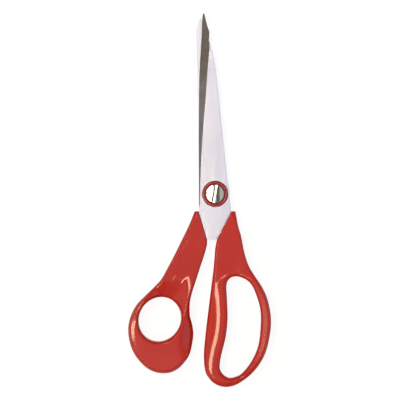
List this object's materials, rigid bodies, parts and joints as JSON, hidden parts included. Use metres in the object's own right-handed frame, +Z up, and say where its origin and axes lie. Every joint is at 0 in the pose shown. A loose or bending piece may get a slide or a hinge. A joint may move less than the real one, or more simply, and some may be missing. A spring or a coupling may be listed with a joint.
{
  "type": "fabric shears",
  "caption": "Fabric shears with long ground blades on a slotted pivot screw, a round thumb loop and a long finger loop.",
  "frame": {"origin": "on the table under the middle of the closed shears' outline", "axes": "+Y towards the blade tips, +Z up towards the head of the pivot screw, +X towards the finger loop's side"},
  "size_m": [0.0814, 0.2128, 0.018],
  "materials": {
    "blade_steel": "finely brushed lengthwise, with a coarser ground bevel along the cutting edge",
    "screw_steel": "polished, domed, with a plain slot",
    "handle_plastic": "moulded, satin gloss",
    "bush_plastic": "moulded, satin gloss"
  },
  "bodies": {
    "finger_half": {"finger_blade": "blade_steel", "finger_handle": "handle_plastic", "pivot_screw": "screw_steel", "front_bush": "bush_plastic", "rear_bush": "bush_plastic", "pivot_nut": "screw_steel"},
    "thumb_half": {"thumb_blade": "blade_steel", "thumb_handle": "handle_plastic"}
  },
  "joints": [
    {"name": "blade_pivot", "type": "hinge", "parent": "finger_half", "child": "thumb_half", "pos_m": [0.00879, 0.00358, 0.009], "axis": [0, 0, -1], "range_deg": [0, 90]}
  ]
}
